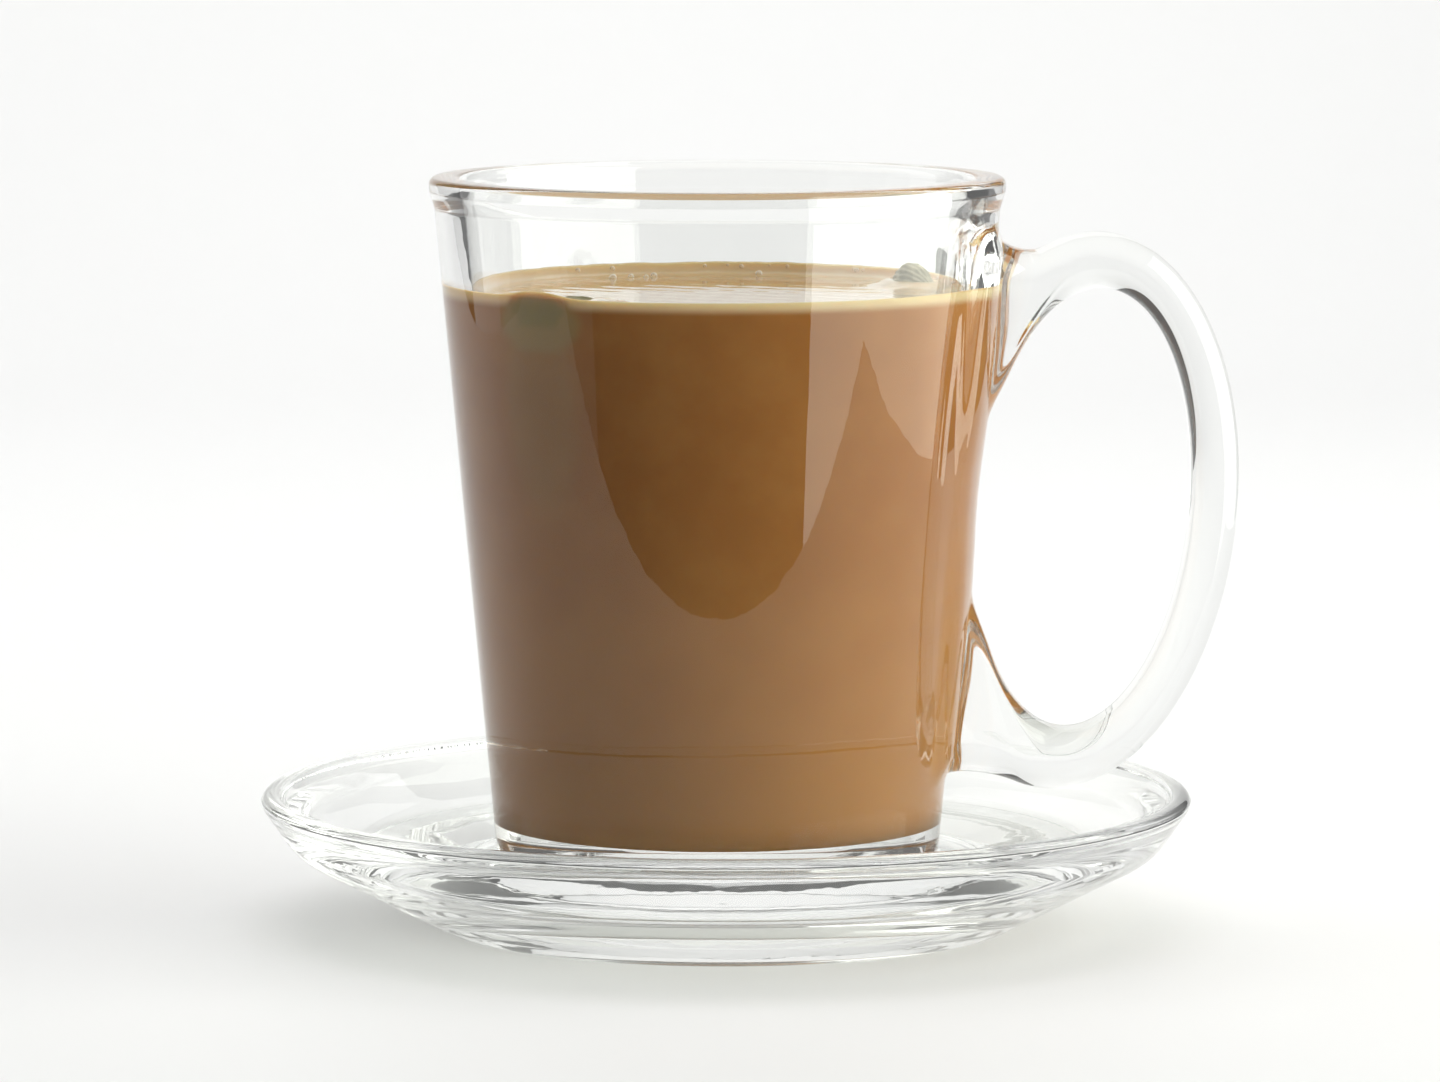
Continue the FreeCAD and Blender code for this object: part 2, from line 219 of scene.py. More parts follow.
# %% [markdown]
# ## The turned wall, with two windows for the handle
#
# A lathe shape and a handle can be joined with a boolean, but then the joint is a hard crease, and
# glass shows a crease at once. Here the wall is a grid with two rectangular windows left open, and
# the handle grows out of their edges, point by point, so the whole mug is one smooth skin.
#
# The outside rows are spaced evenly in height, so that the windows start and end on a row. Under them
# comes the shallow hollow of the underside. Above them the wall steps out into a straight band, turns
# over the lip and runs down the inside to the middle of the floor.

# %% The wall's rows
WALL_LOW, WALL_HIGH, WALL_ROWS = 12.0, 99.0, 88
WINDOW_ROWS, WINDOW_COLUMNS = 34, 32
TOP_WINDOW, LOW_WINDOW = 64.0, 15.0            # lower edge of each window
HOLLOW_Z = 9.9              # the underside's hollow middle
SHOULDER_Z, BAND_Z = 99.8, 102.2               # where the wall steps out, and where the band starts

wall_z = np.linspace(WALL_LOW, WALL_HIGH, WALL_ROWS)
step_z = wall_z[1] - wall_z[0]

underside = densify(rounded_profile([
    (0, HOLLOW_Z, 0), (25.0, HOLLOW_Z, 3.0), (27.2, BASE_Z, 1.2), (BASE_RADIUS, BASE_Z, 1.5),
    (outside_radius(WALL_LOW), WALL_LOW, 0)]), 2.0)[:-1]
lip_and_inside = densify(rounded_profile([
    (outside_radius(WALL_HIGH), WALL_HIGH, 0), (outside_radius(SHOULDER_Z), SHOULDER_Z, 3.0),
    (LIP_RADIUS, BAND_Z, 1.5), (LIP_RADIUS, LIP_Z, 0.9), (inside_radius(LIP_Z), LIP_Z, 1.2),
    (CAVITY_RADIUS, CAVITY_Z, CAVITY_CORNER), (0, CAVITY_Z, 0)], steps=10), 2.2)[1:]


def turned(path, angles=around, x=MUG_X):
    """Turn (r, z) points about the upright axis through x: one row for each point of the path."""
    r, z = path[:, 0][:, None], path[:, 1][:, None]
    return np.stack([x + r * np.cos(angles), r * np.sin(angles), z + 0 * angles], axis=-1)


wall = np.vstack([
    turned(underside),
    wall_point(around[None, :], wall_z[:, None]),
    turned(lip_and_inside)])
wall_quads = grid_quads(len(wall), COLUMNS)
print("wall grid:", wall.shape, "rows are", round(step_z, 3), "mm apart")

# %% Leave the windows open
middle = COLUMNS // 2
for lower_edge in (TOP_WINDOW, LOW_WINDOW):
    first = len(underside) + int(round((lower_edge - WALL_LOW) / step_z))
    half = WINDOW_COLUMNS // 2
    wall_quads[first:first + WINDOW_ROWS, middle - half:middle + half] = -1
wall_quads = wall_quads[wall_quads[..., 0] >= 0]
print("quads left in the wall:", len(wall_quads))

# %% [markdown]
# ## The handle's ring
#
# From the side, the handle is the space between two leaning ellipses: the finger hole and the outer
# edge. At each step round the hole a section runs from the hole's edge straight out to the outer
# edge. The section is a rounded rectangle, 11.5 mm across, because the handle is pressed in two half
# moulds that leave its flanks flat and its edges soft.

# %% Two ellipses and the sections between them
HOLE = dict(centre=(MUG_X + 51.0, 57.8), long=31.0, short=14.9, lean=5.3)
EDGE = dict(centre=(MUG_X + 49.7, 57.4), long=39.1, short=22.56, lean=6.6)
HOLE_START, HOLE_SPAN = 55, -283               # degrees round the hole, from the top root to the low one
EDGE_START, EDGE_END = 23, -190                # where the outer edge leaves the roots
HALF_THICK = 5.75
SECTION_CORNER = 4.4        # the rounding of a section's edges


def ellipse_axes(ellipse):
    lean = math.radians(ellipse["lean"])
    return np.array([math.sin(lean), math.cos(lean)]), np.array([-math.cos(lean), math.sin(lean)])


def on_ellipse(ellipse, turn):
    """centre + long cos(turn) up the leaning axis + short sin(turn) towards the mug."""
    up, left = ellipse_axes(ellipse)
    return (np.array(ellipse["centre"]) + ellipse["long"] * np.cos(turn)[:, None] * up
            + ellipse["short"] * np.sin(turn)[:, None] * left)


def outward_match(turn):
    """The turn on the outer edge that lies straight out from a turn on the hole: the hole's normal is
    followed to the outer ellipse, which is a quadratic in the distance."""
    up, left = ellipse_axes(HOLE)
    start = on_ellipse(HOLE, turn)
    normal = (np.cos(turn) / HOLE["long"])[:, None] * up + (np.sin(turn) / HOLE["short"])[:, None] * left
    normal /= np.linalg.norm(normal, axis=1)[:, None]
    up, left = ellipse_axes(EDGE)
    offset = start - np.array(EDGE["centre"])
    q = np.stack([offset @ up / EDGE["long"], offset @ left / EDGE["short"]], axis=1)
    n = np.stack([normal @ up / EDGE["long"], normal @ left / EDGE["short"]], axis=1)
    a, b, c = (n * n).sum(1), (q * n).sum(1), (q * q).sum(1) - 1
    hit = q + ((-b + np.sqrt(b * b - a * c)) / a)[:, None] * n
    return np.unwrap(np.arctan2(hit[:, 1], hit[:, 0]))


SECTIONS = 130
along = np.linspace(0, 1, SECTIONS)
hole_turn = np.radians(HOLE_START + HOLE_SPAN * along)
edge_turn = outward_match(hole_turn)
edge_turn += (math.radians(EDGE_START) - edge_turn[0]) * (1 - soft_step(along, 0, 0.22))
edge_turn += (math.radians(EDGE_END) - edge_turn[-1]) * soft_step(along, 0.78, 1)
inner, outer = on_ellipse(HOLE, hole_turn), on_ellipse(EDGE, edge_turn)
width = np.linalg.norm(outer - inner, axis=1)
print("handle's width, mm, at the top, the thinnest and the low end:",
      round(width[0], 1), round(width.min(), 1), round(width[-1], 1))

# %% Rounded rectangles from the edge of a square
def square_edge(across, up):
    """Points round the edge of the square from -1 to 1, with that many cells on its sides."""
    a, b = np.linspace(-1, 1, across + 1), np.linspace(-1, 1, up + 1)
    return (np.concatenate([a[:-1], np.ones(up), a[:0:-1], -np.ones(up)]),
            np.concatenate([-np.ones(across), b[:-1], np.ones(across), b[:0:-1]]))


def rounded_rectangle(a, b, half_a, half_b, radius):
    """Stretch the square to the half sizes, then push what lies in a corner out onto an arc about
    the corner's centre."""
    x, y = a * half_a, b * half_b
    corner_x, corner_y = np.sign(x) * (half_a - radius), np.sign(y) * (half_b - radius)
    dx, dy = x - corner_x, y - corner_y
    inside = (np.abs(x) > half_a - radius) & (np.abs(y) > half_b - radius)
    reach = np.maximum(np.hypot(dx, dy), 1e-9)
    return (np.where(inside, corner_x + radius * dx / reach, x),
            np.where(inside, corner_y + radius * dy / reach, y))


side_a, side_b = square_edge(WINDOW_COLUMNS, WINDOW_ROWS)
half_width = (width / 2)[:, None]
corner = np.minimum(SECTION_CORNER, half_width - 0.1)
section_y, section_out = rounded_rectangle(side_a[None], side_b[None], HALF_THICK, half_width, corner)
centre = ((inner + outer) / 2)[:, None, :]
direction = ((outer - inner) / width[:, None])[:, None, :]
ring = centre + direction * section_out[..., None]
ring = np.stack([ring[..., 0], section_y, ring[..., 1]], axis=-1)
print("points round a section:", ring.shape[1])

# %% [markdown]
# ## Flared roots
#
# Hot glass leaves a generous fillet where a handle meets the wall. Each point of the root's outline
# starts along the wall, heading inward, and ends along the handle, heading outward. A cubic Hermite
# curve joins the two, which is what a fillet looks like. Between the root's outline and the window's
# edge, a collar of rows lies exactly on the wall's own surface.
#
# How far a curve keeps to its first direction, and how late it turns into its last one, is set by the
# lengths of its two end slopes. The shorter start and the longer end give a flare that hugs the wall
# briefly and then runs out along the handle.

# %% Collars on the wall and flares off it
FLARE_ROWS, COLLAR_ROWS = 16, 7
ROOT_WIDER, ROOT_CORNER = 1.0, 4.0             # the root against the handle, and its outline's rounding
LEAVE, ARRIVE = 0.8, 1.4                       # lengths of the end slopes, against the gap's own
TOP_ROOT = (70.0, 95.3)                        # lower and upper end of each root on the wall
LOW_ROOT = (20.6, 46.5)


def root(window_low, ends, flip, first, second):
    """Rows from the window's edge to the handle's first section, as one grid.
    flip is 1 where the handle's outer edge is the upper one, and -1 where it is the lower one."""
    loop_low, loop_high = ends
    window_half = WINDOW_ROWS * step_z / 2
    edge_angle = side_a * (WINDOW_COLUMNS / 2) * (2 * math.pi / COLUMNS)
    edge_z = window_low + window_half + flip * side_b * window_half
    loop_s, loop_b = rounded_rectangle(side_a, side_b, HALF_THICK + ROOT_WIDER,
                                       (loop_high - loop_low) / 2, ROOT_CORNER)
    loop_z = (loop_high + loop_low) / 2 + flip * loop_b
    loop_angle = loop_s / outside_radius(loop_z)
    t = np.linspace(0, 1, COLLAR_ROWS)[:, None]
    collar = wall_point(edge_angle * (1 - t) + loop_angle * t, edge_z * (1 - t) + loop_z * t)

    start = collar[-1]
    nearer = wall_point(loop_angle * 0.98, loop_z + ((loop_high + loop_low) / 2 - loop_z) * 0.02)
    leave = (nearer - start) / np.linalg.norm(nearer - start, axis=1)[:, None]
    arrive = (second - first) / np.linalg.norm(second - first, axis=1)[:, None]
    leave *= LEAVE * np.maximum(((first - start) * leave).sum(1), 0.3)[:, None]
    arrive *= ARRIVE * np.maximum(((first - start) * arrive).sum(1), 0.3)[:, None]
    t = np.linspace(0, 1, FLARE_ROWS + 1)[1:-1, None, None] ** 1.5
    flare = ((2 * t**3 - 3 * t**2 + 1) * start + (t**3 - 2 * t**2 + t) * leave
             + (3 * t**2 - 2 * t**3) * first + (t**3 - t**2) * arrive)
    return np.concatenate([collar, flare])


window_top = wall_z[int(round((TOP_WINDOW - WALL_LOW) / step_z))]
window_low = wall_z[int(round((LOW_WINDOW - WALL_LOW) / step_z))]
top_root = root(window_top, TOP_ROOT, 1, ring[0], ring[1])
low_root = root(window_low, LOW_ROOT, -1, ring[-1], ring[-2])
handle = np.concatenate([top_root, ring, low_root[::-1]])
handle_quads = grid_quads(len(handle), handle.shape[1])

mug = make_piece("mug_glass", [(wall, wall_quads), (handle, handle_quads)], weld=0.02)

# %% [markdown]
# ## The saucer
#
# The saucer is a plain turned dish: a foot ring, a flat well that takes the mug, a gently rising
# border and a thick round rim. It is one profile turned about the upright axis. The profile starts
# under the middle, goes out round the foot ring and up the outside to the rim, and comes back over
# the border and the well.

# %% Turn the saucer
UNDER_Z = 4.4               # the flat underside, inside the foot ring
SAUCER_RADIUS, SAUCER_HIGH = 65.0, 18.2
FOOT_IN, FOOT_OUT = 36.4, 41.0                 # the foot ring's radii on the table

saucer_path = densify(rounded_profile([
    (0, UNDER_Z, 0), (35.8, UNDER_Z, 1.2), (FOOT_IN, 0, 1.0), (FOOT_OUT, 0, 1.6),
    (60.6, 10.2, 8.8), (SAUCER_RADIUS, 16.6, 2.0), (SAUCER_RADIUS, SAUCER_HIGH, 1.3),
    (62.3, SAUCER_HIGH, 1.2), (62.0, 16.6, 2.0), (51.0, 10.8, 9.0), (35.5, WELL_Z, 6.0),
    (0, WELL_Z, 0)]), 2.0)
saucer = make_piece("saucer_glass", [
    (turned(saucer_path, around, 0.0), grid_quads(len(saucer_path), COLUMNS))])

# %% [markdown]
# ## The tea
#
# The tea's skin lies a touch inside the glass, in the wall and the floor, so that no air shows
# between them. Its surface is flat in the middle and climbs the glass at the edge, as water does on
# clean glass, falling off with the distance from the wall like an exponential. It climbs the floating
# pods in the same way. Its level is the CAD tea's top, less the climb.

# %% Level, climb and the pods' waterlines
CLIMB = 1.0                 # how far the tea climbs the glass at the front
BACK_CLIMB = 2.0            # and at the back, where it was last tilted
FADE = 1.2                  # the distance at which the climb has fallen to about a third
POD_CLIMB = 0.9             # and how far it climbs a pod
POD_LIFT, POD_LIFT_REACH = 1.0, 5.0            # the higher edge where the front pod meets the glass
INTO_WALL = 0.15            # how far the tea's skin lies inside the glass
TEA_FLOOR = 13.6            # its underside, a touch below the cavity's floor
TEA_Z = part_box("chai")[1][2] * 1000 - CLIMB

PODS = {
    "front": dict(turn=232.4, length=13.6, width=6.8, seed=3),
    "back": dict(turn=19.0, length=13.0, width=7.0, seed=8),
}
for name, pod in PODS.items():
    pod_low, pod_high = (np.array(corner) * 1000 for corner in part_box(f"pod_{name}"))
    pod["centre"] = (*(pod_low + pod_high)[:2] / 2, pod_high[2] - pod["width"] / 2)


def pod_frame(pod):
    """The pod's middle and its two level directions: along its length and across it."""
    heading = math.radians(pod["turn"] + 90)
    along = np.array([math.cos(heading), math.sin(heading)])
    return np.array(pod["centre"]), along, np.array([-along[1], along[0]])


def beside_pod(pod, x, y):
    """Rough distance outside the pod's waterline, an ellipse as long and as wide as the pod there."""
    middle, along, across = pod_frame(pod)
    u = (x - middle[0]) * along[0] + (y - middle[1]) * along[1]
    v = (x - middle[0]) * across[0] + (y - middle[1]) * across[1]
    reach = np.hypot(u / (pod["length"] / 2), v / (pod["width"] / 2))
    return np.maximum(reach - 1, 0) * pod["width"] / 2


POD_TOUCHES = math.radians(270 - 43)           # where the front pod meets the glass


def along_wall(x, y):
    """Distance along the wall from where the front pod meets the glass."""
    turn = (np.arctan2(y, x - MUG_X) - POD_TOUCHES + math.pi) % (2 * math.pi) - math.pi
    return turn * inside_radius(TEA_Z)


def tea_height(x, y):
    """The higher of level + climb exp(-distance to the glass / FADE) and
    level + POD_CLIMB exp(-distance to a pod / FADE), with a very faint unevenness from the skin that
    milk leaves. The climb goes from the front's to the back's as the sine of the angle does, and
    rises by POD_LIFT more where the front pod meets the glass."""
    r = np.hypot(x - MUG_X, y)
    glass = inside_radius(TEA_Z + CLIMB) + INTO_WALL
    climb = CLIMB + (BACK_CLIMB - CLIMB) * (1 + y / np.maximum(r, 1)) / 2
    climb = climb + POD_LIFT * np.exp(-(along_wall(x, y) / POD_LIFT_REACH) ** 2)
    z = TEA_Z + climb * np.exp(-np.maximum(glass - r, 0) / FADE)
    for pod in PODS.values():
        z = np.maximum(z, TEA_Z + POD_CLIMB * np.exp(-beside_pod(pod, x, y) / FADE))
    return z + 0.02 * np.sin(0.9 * x + 0.4 * y) * np.sin(0.7 * y - 0.3 * x + 1)


# %% Make the tea
edge_r = inside_radius(TEA_Z + CLIMB) + INTO_WALL
side = densify(rounded_profile([
    (0, TEA_FLOOR, 0), (inside_radius(TEA_FLOOR) + INTO_WALL, TEA_FLOOR, CAVITY_CORNER),
    (edge_r, TEA_Z + CLIMB, 0)]), 1.6)
# Depth is the distance inwards from the edge: rings lie close together where the surface curls.
depth = np.concatenate([np.linspace(0.08, 6, 34), np.linspace(7, edge_r, 26)])
top_r = (edge_r - depth)[:, None]
top_x, top_y = MUG_X + top_r * np.cos(around), top_r * np.sin(around)
tea_top = np.stack([top_x, top_y, tea_height(top_x, top_y)], axis=-1)
tea_points = np.concatenate([turned(side), tea_top])
tea = make_piece("chai_liquid", [(tea_points, grid_quads(len(tea_points), COLUMNS))])

# %% [markdown]
# The front pod lies so close to the glass that its green shows through the thin film of tea before it,
# and below it a fainter, darker green is painted as its shadow. This is kept as a number at
# each vertex of the tea, so that it stays on the surface whatever the view.

# %% How green the tea is near the front pod, with its painted shadow
def soft_ellipse(sideways, up, half_wide, half_high, full, gone):
    """1 inside an ellipse and 0 outside it. Its edge is soft, between two shares of its size."""
    return 1 - soft_step(np.hypot(sideways / half_wide, up / half_high), full, gone)


def pod_tint_and_painted_shadow(x, y, z):
    """1 in an ellipse about as long and as high as the pod's touching side, 0.6 in a larger one round
    it, and a quarter in a tall one below it, which is the pod's painted shadow. All three are on the wall
    only."""
    sideways = along_wall(x, y)
    at_wall = soft_step(np.hypot(x - MUG_X, y), inside_radius(z) - 1.5, inside_radius(z) - 0.3)
    touching = soft_ellipse(sideways, z - 87.6, 6.0, 3.0, 0.6, 1.15)
    near = soft_ellipse(sideways, z - 85.8, 7.8, 4.6, 0.65, 1.1)
    # Painted shadow: the tall faint ellipse below the pod marks where the tea is tinted as the pod's shadow.
    painted_shadow_below = soft_ellipse(sideways + 0.5, z - 74, 8.2, 19, 0.55, 1.1)
    return at_wall * np.maximum(np.maximum(touching, 0.6 * near), 0.25 * painted_shadow_below)


coordinates = np.empty(len(tea.data.vertices) * 3)
tea.data.vertices.foreach_get("co", coordinates)
pod_tint_and_shadow = pod_tint_and_painted_shadow(*(coordinates.reshape(-1, 3).T * 1000))
tea.data.attributes.new("pod_tint_and_shadow", "FLOAT", "POINT").data.foreach_set("value", pod_tint_and_shadow.astype(np.float32))
print("vertices tinted by the pod:", int((pod_tint_and_shadow > 0.5).sum()))

# %% [markdown]
# ## Cardamom pods
#
# A green cardamom pod is a three-sided papery husk with fine ribs from tip to tip. It swells quickly
# from a short stalk, and dried husks are wrinkled and a little bent. The radius of the surface is a
# swelling function along the pod times one plus small waves round it.

# %% Make the two pods
def make_pod(name, pod):
    """Radius = half width x (sin(pi u)^0.72 x (1 + 0.085 cos 3a + ribs + wrinkles) + stalk), with u
    from 0 to 1 along a bent axis and the angle a round it. Three sines make the wrinkles, and their
    starts are drawn at random. The shares 0.97, 1 / 1.13 and 0.98 keep it inside the CAD pod."""
    rng = np.random.default_rng(pod["seed"])
    u = (1 - np.cos(np.linspace(0, math.pi, 90)))[:, None] / 2
    a = np.linspace(0, 2 * math.pi, 120, endpoint=False)[None, :]
    swell = np.maximum(np.sin(math.pi * u), 0) ** 0.72
    waves = 0.085 * np.cos(3 * a) + 0.028 * np.cos(21 * a + 2 * np.sin(4 * u + rng.uniform(0, 6)))
    for count in (5, 8, 13):
        round_it = np.sin(count * a + rng.uniform(0, 6))
        waves = waves + 0.018 * round_it * np.sin(count * 2.3 * u + rng.uniform(0, 6))
    stalk = 0.09 * np.exp(-((u - 0.985) / 0.02) ** 2)
    r = pod["width"] / 2 * 0.97 * (swell * (1 + waves) / 1.13 + stalk * (u < 1) * (u > 0))
    middle, along, across = pod_frame(pod)
    bend = 0.5 * np.sin(math.pi * u)
    run = (u - 0.5) * pod["length"] * 0.98
    points = np.empty((*np.broadcast_shapes(u.shape, a.shape), 3))
    for axis in (0, 1):
        points[..., axis] = middle[axis] + run * along[axis] + (r * np.sin(a) + bend - 0.3) * across[axis]
    points[..., 2] = middle[2] + r * np.cos(a)
    return make_piece(name, [(points, grid_quads(90, 120))])


pods = {name: make_pod(f"pod_husk_{name}", pod) for name, pod in PODS.items()}

# %% [markdown]
# ## Bubbles
#
# A few bubbles are left near the edge of the tea. Eight larger ones are listed one by one, five of them
# in a cluster at the back left, and the rest are scattered along the glass. Each is a small ball, half
# under the tea, so that a dome shows. They all go into one mesh.

# %% Make the bubbles
PLACED_BUBBLES = np.array([                    # degrees round the mug, radius, distance in from the glass
    (108, 0.55, 3.0), (111, 0.4, 4.2), (115, 0.5, 3.4), (119, 0.35, 2.2), (121, 0.6, 3.6),
    (79, 0.55, 1.5), (20, 0.7, 0.9), (26, 0.4, 1.2)])
SCATTERED = 18


def make_bubbles():
    """A ball for each spot: its radius times a unit sphere, set at the tea's height there."""
    rng = np.random.default_rng(14)
    angle = np.concatenate([np.radians(PLACED_BUBBLES[:, 0]), rng.uniform(-3.1, 3.1, SCATTERED)])
    size = np.concatenate([PLACED_BUBBLES[:, 1], rng.uniform(0.18, 0.4, SCATTERED)])
    inward = np.concatenate([PLACED_BUBBLES[:, 2], np.zeros(SCATTERED)])
    reach = inside_radius(TEA_Z + CLIMB) - size - INTO_WALL - inward
    x, y = MUG_X + reach * np.cos(angle), reach * np.sin(angle)
    z = tea_height(x, y)
    v = np.linspace(0, math.pi, 9)[:, None]
    a = np.linspace(0, 2 * math.pi, 14, endpoint=False)[None, :]
    ball = np.stack([np.sin(v) * np.cos(a), np.sin(v) * np.sin(a), np.cos(v) + 0 * a], axis=-1)
    grids = []
    for spot, radius in zip(np.stack([x, y, z], axis=1), size):
        grids.append((spot + ball * radius, grid_quads(9, 14)))
    return make_piece("edge_bubbles", grids, weld=0.001)


bubbles = make_bubbles()

# %% [markdown]
# ## Shader maths written as sums
#
# Node trees are easier to read as expressions. One small class wraps a socket, and its operators add
# Math nodes. Any other node comes from `node`, which sets the node's own options first and then its
# sockets, by value or by link.

# %% A socket that can be added and multiplied
class Wire:
    """One output socket. Adding to it or multiplying it gives the output of a new Math node."""

    def __init__(self, tree, socket):
        self.tree, self.socket = tree, socket

    def math(self, operation, *values):
        return self.tree.node("ShaderNodeMath", {"operation": operation}, list(values))

    def __add__(self, other):
        return self.math("ADD", self, other)

    def __mul__(self, other):
        return self.math("MULTIPLY", self, other)

    __radd__ = __add__
    __rmul__ = __mul__

    def step(self, start, end):
        """0 below start, 1 above end, smooth between."""
        return self.tree.node("ShaderNodeMapRange", {"interpolation_type": "SMOOTHSTEP"},
                              {"Value": self, "From Min": start, "From Max": end})


class Material:
    """A new material with its node tree emptied, and its output ready to be fed."""

    def __init__(self, name):
        self.material = bpy.data.materials.new(name)
        self.material.use_nodes = True
        self.tree = self.material.node_tree
        self.tree.nodes.clear()
        self.output = self.tree.nodes.new("ShaderNodeOutputMaterial")

    def node(self, kind, options=None, inputs=None, out=0):
        """Add a node: its options first, then each socket's value or link. Returns one output."""
        made = self.tree.nodes.new(kind)
        for key, value in (options or {}).items():
            setattr(made, key, value)
        pairs = inputs.items() if isinstance(inputs, dict) else enumerate(inputs or [])
        for key, value in pairs:
            if isinstance(value, Wire):
                self.tree.links.new(value.socket, made.inputs[key])
            else:
                made.inputs[key].default_value = value
        return Wire(self, made.outputs[out])

    def place(self):
        """Object coordinates in metres."""
        return self.node("ShaderNodeTexCoord", out="Object")

    def noise(self, scale, detail=3.0, rough=0.5):
        """Cloudy noise fixed to the piece; scale is in waves for each metre."""
        return self.node("ShaderNodeTexNoise", {}, {
            "Vector": self.place(), "Scale": scale, "Detail": detail, "Roughness": rough})

    def mix(self, share, first, second):
        """A colour between two colours."""
        return self.node("ShaderNodeMix", {"data_type": "RGBA"}, {0: share, 6: first, 7: second}, out=2)

    def finish(self, shader):
        self.tree.links.new(shader.socket, self.output.inputs["Surface"])
        return self.material


def rgba(r, g, b):
    """A colour with full cover."""
    return (r, g, b, 1.0)


# %% [markdown]
# ## Clear glass
#
# Pressed soda-lime glass bends light by an index of about 1.52 and has a faint green cast, seen only
# through a long path. Refraction alone would leave the tea in the dark, because light that reaches it
# through glass is hard to find by chance. So, for shadow rays only, the glass is plain transparent
# with a slight tint.

# %% Make the glass
GLASS_IOR, RIPPLE = 1.52, 0.03
SHADOW_TINT = rgba(0.94, 0.95, 0.94)


def clear_glass(name, tint):
    """Refracting glass with faint pressing ripples of two sizes, plain and clear for shadow rays."""
    m = Material(name)
    waves = m.noise(60, 2.0) + 0.3 * m.noise(240, 2.0)
    relief = m.node("ShaderNodeBump", {}, {"Strength": RIPPLE, "Distance": 0.0006, "Height": waves})
    glass = m.node("ShaderNodeBsdfPrincipled", {}, {
        "Base Color": rgba(*tint), "Roughness": 0.0, "IOR": GLASS_IOR, "Transmission Weight": 1.0,
        "Normal": relief})
    clear = m.node("ShaderNodeBsdfTransparent", {}, {"Color": SHADOW_TINT})
    shadow_ray = m.node("ShaderNodeLightPath", out="Is Shadow Ray")
    return m.finish(m.node("ShaderNodeMixShader", {}, [shadow_ray, glass, clear]))


mug_material = clear_glass("mug_pressed_glass", (0.985, 0.99, 0.982))
saucer_material = clear_glass("saucer_pressed_glass", (0.98, 0.99, 0.982))

# %% [markdown]
# ## Milky tea
#
# Milk makes tea opaque within a few millimetres and scatters light under its skin. The colour is a
# warm brown, a little paler in soft clouds, and painted paler towards the bottom as painted light from
# the floor. Against the glass there is no gloss of its own, because glass and tea bend light almost
# alike. The free surface is glossy. The thin wedge that climbs the glass lets light through, and that
# glow is painted light: the wedge is painted paler and yellower. The front pod tints the tea before it
# in two steps, and a painted shadow of it lies below.

# %% Make the tea's two finishes
DEEP_TEA, CLOUDY_TEA = rgba(0.315, 0.132, 0.033), rgba(0.350, 0.158, 0.043)
# Painted light: the paler brown used towards the bottom stands in for light from the floor.
PAINTED_LIGHT_LOW_TEA, PAINTED_GLOW_WEDGE = rgba(0.46, 0.235, 0.072), rgba(0.56, 0.48, 0.29)
NEAR_POD_AND_SHADOW, TOUCHING_POD = rgba(0.305, 0.198, 0.07), rgba(0.235, 0.178, 0.06)


def milky_tea(name, free_surface):
    """The tea's finish, for its free surface or for its side against the glass."""
    m = Material(name)
    colour = m.mix(m.noise(90, 4.0, 0.55).step(0.35, 0.7), DEEP_TEA, CLOUDY_TEA)
    height = m.node("ShaderNodeSeparateXYZ", {}, [m.place()], out="Z")
    # Painted light: the tea is paler from 75 mm down to 15 mm, for light thrown up by the floor.
    colour = m.mix(0.6 * height.step(0.075, 0.015), colour, PAINTED_LIGHT_LOW_TEA)
    # Painted light: the thin wedge that climbs the glass is painted paler and yellower for the light that
    # glows through it.
    wedge_glow = height.step((TEA_Z - 0.9) * 0.001, (TEA_Z + 0.4) * 0.001)
    colour = m.mix(wedge_glow * (0.55 if free_surface else 0.85), colour, PAINTED_GLOW_WEDGE)
    pod_tint_and_shadow = m.node("ShaderNodeAttribute", {"attribute_name": "pod_tint_and_shadow"}, out="Fac")
    # Painted shadow: this colour also tints the tea below the pod green, as the pod's shadow.
    colour = m.mix(pod_tint_and_shadow.step(0.0, 0.6), colour, NEAR_POD_AND_SHADOW)
    colour = m.mix(pod_tint_and_shadow.step(0.6, 1.0), colour, TOUCHING_POD)
    inputs = {
        "Base Color": colour, "Roughness": 0.02 if free_surface else 0.6, "IOR": 1.36,
        "Subsurface Weight": 0.35, "Subsurface Scale": 0.004, "Subsurface Radius": (1.0, 0.5, 0.25)}
    if not free_surface:
        inputs["Specular IOR Level"] = 0.0
    return m.finish(m.node("ShaderNodeBsdfPrincipled", {}, inputs))


side_material = milky_tea("tea_against_glass", False)
top_material = milky_tea("tea_free_surface", True)

# %% [markdown]
# ## Cardamom husk
#
# The husk is a dull olive green that browns in hot tea, in blotches, with fine fibres and a wet
# shine. The front pod is soaked dark, and the back one is still pale. A bubble's film is almost clear
# where it is seen straight on and denser at its rim.

# %% Make the husk and the bubbles' film
def husk(name, dark, light):
    """Blotches between two colours, over the relief of blotches and fibres."""
    m = Material(name)
    blotch = m.noise(420, 4.0, 0.6)
    fibres = m.noise(1500, 3.0)
    colour = m.mix(blotch.step(0.3, 0.7), rgba(*dark), rgba(*light))
    relief = m.node("ShaderNodeBump", {}, {"Strength": 0.35, "Distance": 0.0002, "Height": fibres + blotch})
    return m.finish(m.node("ShaderNodeBsdfPrincipled", {}, {
        "Base Color": colour, "Roughness": 0.3 + 0.2 * blotch, "IOR": 1.45, "Normal": relief}))


